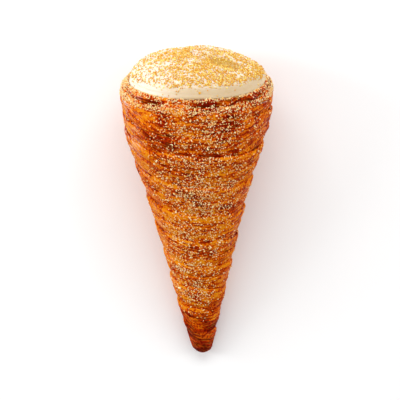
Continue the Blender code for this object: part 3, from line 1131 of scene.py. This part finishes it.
def layers_group():
    """Thin baked layers seen edge-on: streaks and threads along the strip, as masks and a height."""
    tree, given, results = group("Baked layers", ("Length", "Width"), ("Streaks", "Threads", "Height"))
    size = add(tree, "ShaderNodeCombineXYZ", "size", X=given[1], Y=given[2], Z=1.0).outputs[0]
    divided = add(tree, "ShaderNodeVectorMath", "place", operation="DIVIDE")
    feed_in_order(tree, divided.inputs, given[0], size)
    place = divided.outputs[0]
    broad = clouds(tree, "broad", Vector=place, Scale=1.0, Detail=5.0, Distortion=1.2)
    thin = clouds(tree, "thin", Vector=place, Scale=2.6, Detail=4.0, Distortion=0.8)
    masks = ranged(tree, broad, 0.36, 0.64), ranged(tree, thin, 0.52, 0.66)
    feed_in_order(tree, results, *masks, maths(tree, "ADD", broad, thin))
    return tree


def material(name, viewport):
    """New node material: itself, its tree and its Principled shader."""
    made = bpy.data.materials.new(name)
    made.use_nodes = True
    made.diffuse_color = (*viewport, 1.0)
    return made, made.node_tree, made.node_tree.nodes["Principled BSDF"]


def crust_material():
    """Glazed puff pastry: golden where it swells, red-brown in its creases with painted shade, streaked
    along its layers, with painted highlights on the lips' edges and a painted sheen along the glaze lines.
    """
    tones = settings("colours")
    made, tree, shader = material("baked_pastry_crust", tones.crust_golden)
    strip = add(tree, "ShaderNodeUVMap", "strip", uv_map="strip").outputs[0]
    effect = layers_group()
    layers = placed_group(tree, effect, Vector=strip, Length=1.5, Width=0.12)
    # Lines of glaze at the sides: they give the coat and a painted sheen.
    glaze_lines_and_sheen = placed_group(tree, effect, Vector=strip, Length=2.0, Width=0.07)["Threads"]
    glaze_lines_and_sheen = maths(tree, "MULTIPLY", ranged(tree, glaze_lines_and_sheen, 0.45, 0.9), attribute(tree, "glaze_and_painted_sheen"))
    mottle = placed_group(tree, mottle_group(), Vector=own_place(tree), Spot_Scale=210.0, Speck_Scale=1100.0)
    # The crease mask: partly baked crust and partly painted shade.
    crease_bake_and_shade = ranged(tree, attribute(tree, "crease"), 0.15, 0.85)

    # How much darker each effect makes the crust at full strength, and where there is none of it. Streaks,
    # spots and specks are baked; the lips' edges are a painted highlight; the creases are partly baked and
    # partly painted shade.
    baked = attribute(tree, "bake")
    for mask, darker, start in (
        (layers["Streaks"], 0.60, -0.31),
        (mottle["Spots"], 0.34, -0.17),
        (mottle["Specks"], 0.52, -0.28),
        (attribute(tree, "edge"), -0.34, 0.0),
        (crease_bake_and_shade, 0.55, 0.0),
    ):
        baked = maths(tree, "ADD", baked, maths(tree, "MULTIPLY_ADD", mask, darker, start))

    # Colours in the order of baking, and the range over which each takes over.
    tint = tones.crust_pale
    for low, high, tone in (
        (0.0, 0.36, tones.crust_golden),
        (0.34, 0.70, tones.crust_red),
        (0.8, 1.25, tones.crust_dark),
    ):
        tint = mixed(tree, ranged(tree, baked, low, high), tint, tone)
    tint = mixed(tree, maths(tree, "MULTIPLY", layers["Threads"], 0.5), tint, tones.crust_pale)
    # Painted sheen: the glaze lines' highlight colour is mixed into the crust's colour.
    tint = mixed(tree, maths(tree, "MULTIPLY", glaze_lines_and_sheen, 0.6), tint, tones.glaze_and_painted_sheen)

    rough = maths(tree, "MULTIPLY_ADD", mottle["Spots"], 0.2, 0.34)
    shallow = maths(tree, "SUBTRACT", 1.0, crease_bake_and_shade)
    coat = maths(tree, "MULTIPLY", ranged(tree, layers["Threads"], 0.5, 1.0), shallow)
    height = maths(tree, "MULTIPLY_ADD", mottle["Height"], 0.35, layers["Height"])
    feed_named(
        tree,
        shader,
        Base_Color=tint,
        Roughness=maths(tree, "ADD", rough, maths(tree, "MULTIPLY", crease_bake_and_shade, 0.2)),
        Specular_IOR_Level=0.01,
        Coat_Weight=maths(tree, "MAXIMUM", maths(tree, "MULTIPLY", coat, 0.22), glaze_lines_and_sheen),
        Coat_Roughness=0.26,
        Coat_IOR=1.6,
        Normal=bump(tree, height, 0.9, 0.6 * MM),
    )
    return made


def cream_material():
    """Smooth cream, tinted by fine yellow dust where the crumbs lie thick and in the dent, where it is
    partly painted shade, and with painted shade at its foot, warmed by the pastry's bounce light.
    """
    tones = settings("colours")
    made, tree, shader = material("pastry_cream", tones.cream)
    mottle = placed_group(tree, mottle_group(), Vector=own_place(tree), Spot_Scale=260.0, Speck_Scale=1200.0)
    dust = attribute(tree, "dust")
    # Where the value runs above 1, in the dent, the yellow tint is partly painted shade.
    thick = maths(tree, "MULTIPLY", ranged(tree, dust, 0.8, 1.7), 0.85)
    dust = maths(tree, "MULTIPLY", dust, maths(tree, "MULTIPLY_ADD", mottle["Specks"], 0.22, 0.03))
    dust = maths(tree, "MINIMUM", maths(tree, "ADD", dust, thick), 1.0)
    # Painted shade at the cream's foot.
    tint = mixed(tree, attribute(tree, "foot"), tones.cream, tones.cream_foot_painted_shade)
    feed_named(
        tree,
        shader,
        Base_Color=mixed(tree, dust, tint, tones.dust),
        Roughness=maths(tree, "MULTIPLY_ADD", mottle["Spots"], 0.12, 0.42),
        Subsurface_Weight=0.35,
        Subsurface_Radius=(1.0, 0.6, 0.3),
        Subsurface_Scale=2 * MM,
        Normal=bump(tree, mottle["Height"], 0.25, 0.2 * MM),
    )
    return made


def speckled(name, pale, dark, roughness, palest, darkest):
    """Finish of small grains, each of its own tone."""
    made, tree, shader = material(name, pale)
    mottle = placed_group(tree, mottle_group(), Vector=own_place(tree), Spot_Scale=900.0, Speck_Scale=4000.0)
    uneven = maths(tree, "MULTIPLY_ADD", mottle["Spots"], 0.3, -0.15)
    tone = maths(tree, "ADD", attribute(tree, "tone"), uneven)
    feed_named(
        tree,
        shader,
        Base_Color=mixed(tree, ranged(tree, tone, palest, darkest), pale, dark),
        Roughness=maths(tree, "MULTIPLY_ADD", mottle["Specks"], 0.2, roughness),
        Normal=bump(tree, mottle["Height"], 0.3, 0.1 * MM),
    )
    return made


def grain_material():
    tones = settings("colours")
    return speckled("golden_sugar", tones.grain_pale, tones.grain_tan, 0.35, 0.1, 1.0)


def crumb_material():
    tones = settings("colours")
    return speckled("yellow_crumb", tones.crumb_pale, tones.crumb_amber, 0.5, 0.12, 0.62)


def floor_material():
    """Plain matt white table."""
    tones = settings("colours")
    made, tree, shader = material("white_table", tones.floor)
    mottle = placed_group(tree, mottle_group(), Vector=own_place(tree), Spot_Scale=12.0, Speck_Scale=90.0)
    shade = tuple(TABLE_SHADE * part for part in tones.floor)
    feed_named(tree, shader, Base_Color=mixed(tree, mottle["Spots"], tones.floor, shade), Roughness=0.8)
    return made


# ---------------------------------------------------------------- stage


def lamp(name, place, aim, size, power):
    """A soft white light that looks at a point."""
    data = bpy.data.lights.new(name, "AREA")
    data.shape = "RECTANGLE"
    data.size, data.size_y = size
    data.energy = power
    light = bpy.data.objects.new(name, data)
    light.location = place
    light.rotation_euler = (Vector(aim) - Vector(place)).to_track_quat("-Z", "Y").to_euler()
    bpy.context.scene.collection.objects.link(light)


class CREAMHORN_OT_stage(bpy.types.Operator):
    """Lays the white table, sets the soft lights and aims the camera down at the lying horn"""

    bl_idname = "cream_horn.stage"
    bl_label = "Set the stage"

    def execute(self, context):
        stage = settings("stage")
        horn = settings("horn")
        table = primitive(bpy.ops.mesh.primitive_plane_add, "white_table", size=TABLE_SIZE)
        table.data.materials.append(floor_material())

        for softbox in SOFTBOXES:
            lamp(*softbox)

        world = bpy.data.worlds.new("soft_room")
        context.scene.world = world
        world.use_nodes = True
        background = world.node_tree.nodes["Background"]
        background.inputs["Color"].default_value = (1.0, 1.0, 1.0, 1.0)
        background.inputs["Strength"].default_value = ROOM_LIGHT
        context.scene.view_settings.view_transform = "Standard"

        aim = Vector(laid_down(np.array([[0.0, 0.0, stage.aim_height]]))[0])
        tilt = stage.elevation - horn.rest_angle
        back = Vector((0, math.sin(tilt), math.cos(tilt)))
        turn = Matrix((Vector((1, 0, 0)), back.cross(Vector((1, 0, 0))), back)).transposed()
        turn = turn @ Matrix.Rotation(stage.roll, 3, "Z")
        aim += turn @ Vector((stage.aim_side, 0, 0))
        data = bpy.data.cameras.new("camera")
        data.lens = stage.lens
        data.clip_start = 10 * MM
        camera = bpy.data.objects.new("camera", data)
        camera.matrix_world = Matrix.Translation(aim + back * stage.distance) @ turn.to_4x4()
        context.scene.collection.objects.link(camera)
        context.scene.camera = camera
        return {"FINISHED"}


# ---------------------------------------------------------------- panel and main


OPERATORS = (
    CREAMHORN_OT_crust,
    CREAMHORN_OT_cream,
    CREAMHORN_OT_grains,
    CREAMHORN_OT_crumbs,
    CREAMHORN_OT_stage,
)


class CREAMHORN_PT_panel(bpy.types.Panel):
    """Lists the steps and their settings"""

    bl_label = "Cream Horn"
    bl_space_type = "VIEW_3D"
    bl_region_type = "UI"
    bl_category = "Cream Horn"

    def draw(self, context):
        for operator in OPERATORS:
            self.layout.operator(operator.bl_idname)
        for name, kind in GROUPS.items():
            box = self.layout.box()
            box.label(text=name.capitalize())
            for key in kind.__annotations__:
                box.prop(settings(name), key)


def register():
    for kind in (*GROUPS.values(), *OPERATORS, CREAMHORN_PT_panel):
        bpy.utils.register_class(kind)
    for name, kind in GROUPS.items():
        setattr(bpy.types.Scene, f"cream_horn_{name}", bpy.props.PointerProperty(type=kind))


def unregister():
    for name in GROUPS:
        delattr(bpy.types.Scene, f"cream_horn_{name}")
    for kind in reversed((*GROUPS.values(), *OPERATORS, CREAMHORN_PT_panel)):
        bpy.utils.unregister_class(kind)


def main():
    register()
    bpy.ops.cream_horn.crust()
    bpy.ops.cream_horn.cream()
    bpy.ops.cream_horn.grains()
    bpy.ops.cream_horn.crumbs()
    bpy.ops.cream_horn.stage()
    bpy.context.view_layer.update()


if __name__ == "__main__":
    main()
